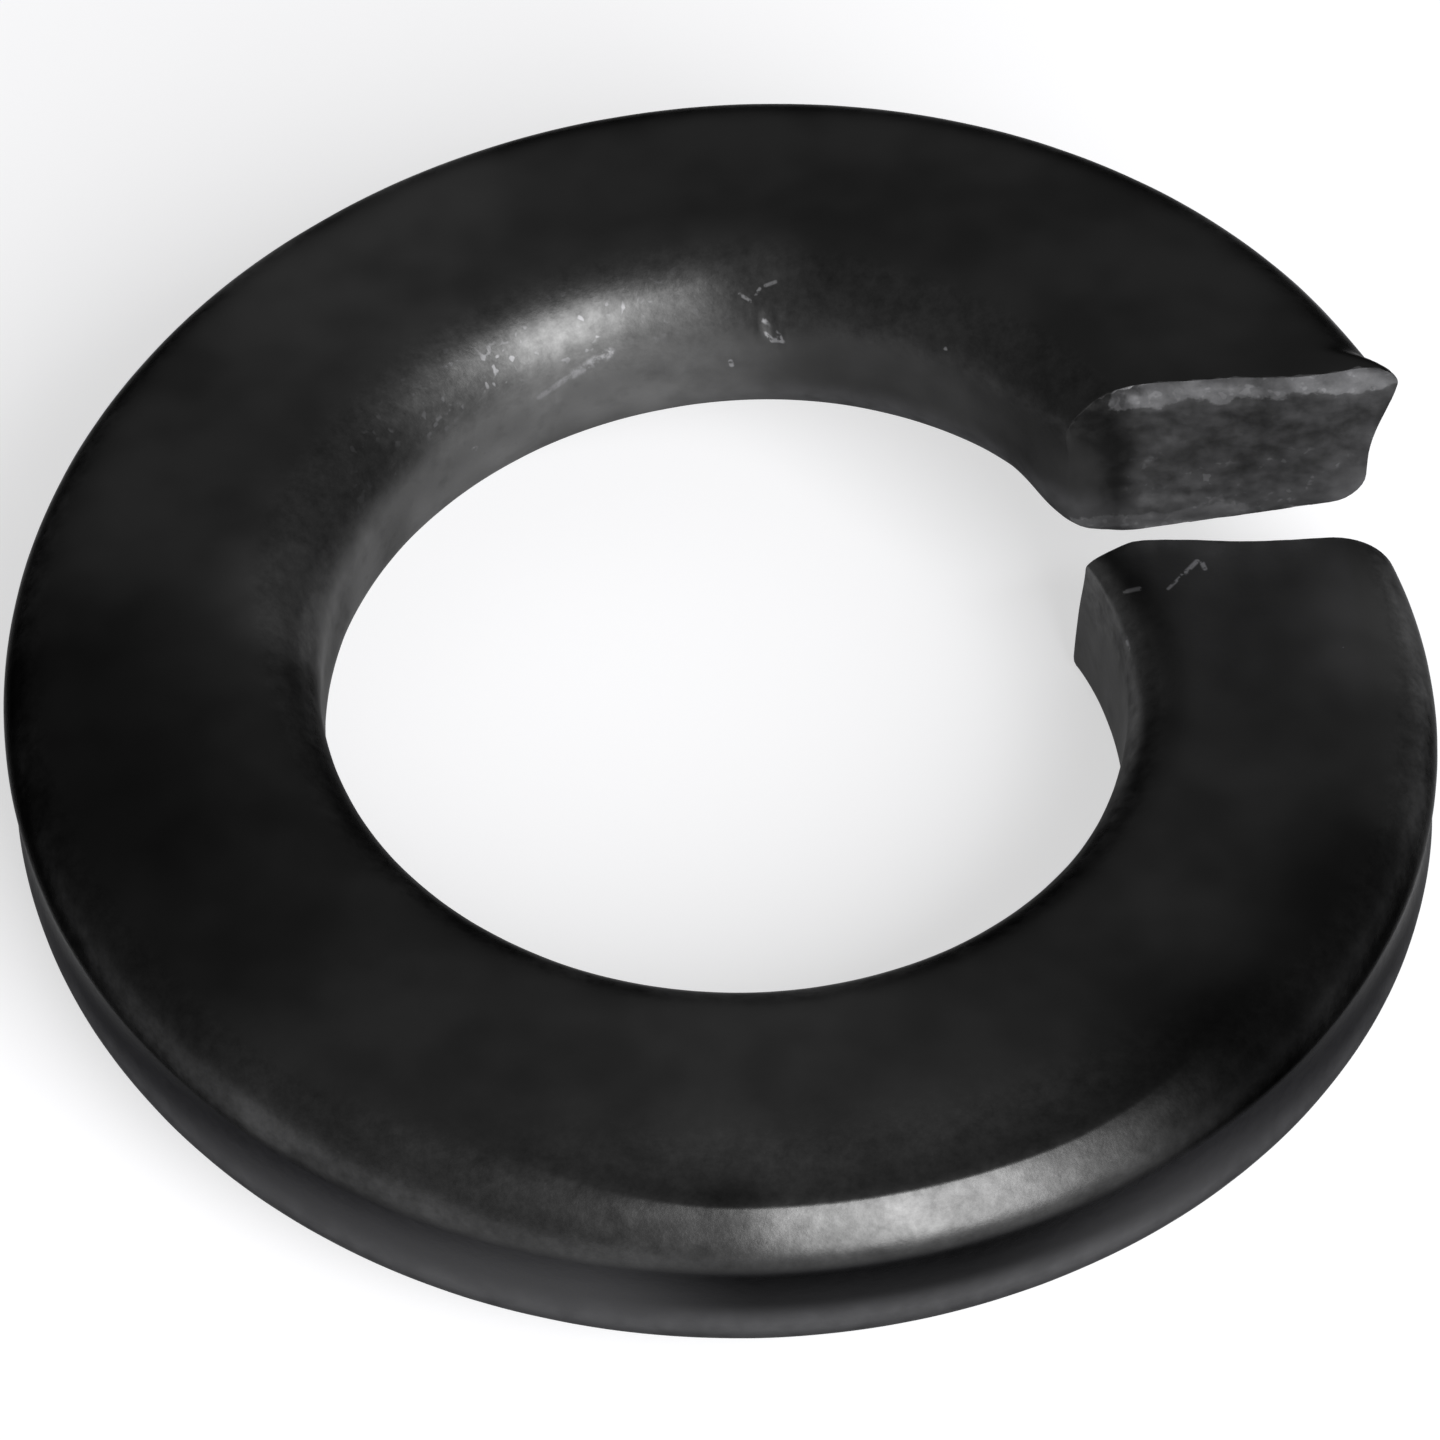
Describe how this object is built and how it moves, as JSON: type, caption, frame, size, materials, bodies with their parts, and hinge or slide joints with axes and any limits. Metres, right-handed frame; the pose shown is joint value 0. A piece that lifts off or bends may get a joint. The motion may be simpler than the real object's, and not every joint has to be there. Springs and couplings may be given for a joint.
{
  "type": "spring lock washer",
  "caption": "Split spring lock washer: a turn of soft-edged, blackened spring steel wire, coiled as a left-hand helix and sheared off at its ends.",
  "frame": {"origin": "on the hole's axis, level with the lowest edge of the low end, where the washer meets the face under it", "axes": "+Z along the hole towards the bolt head or nut; +X towards the split, whose cuts run along X; +Y lies beyond the split on the raised end's side"},
  "size_m": [0.0146, 0.0146, 0.0043],
  "materials": {
    "blackened_steel": "black oxide on spring steel, satin, with bare bright metal where the ends were sheared"
  },
  "bodies": {
    "root": {"lock_washer": "blackened_steel"}
  },
  "joints": []
}
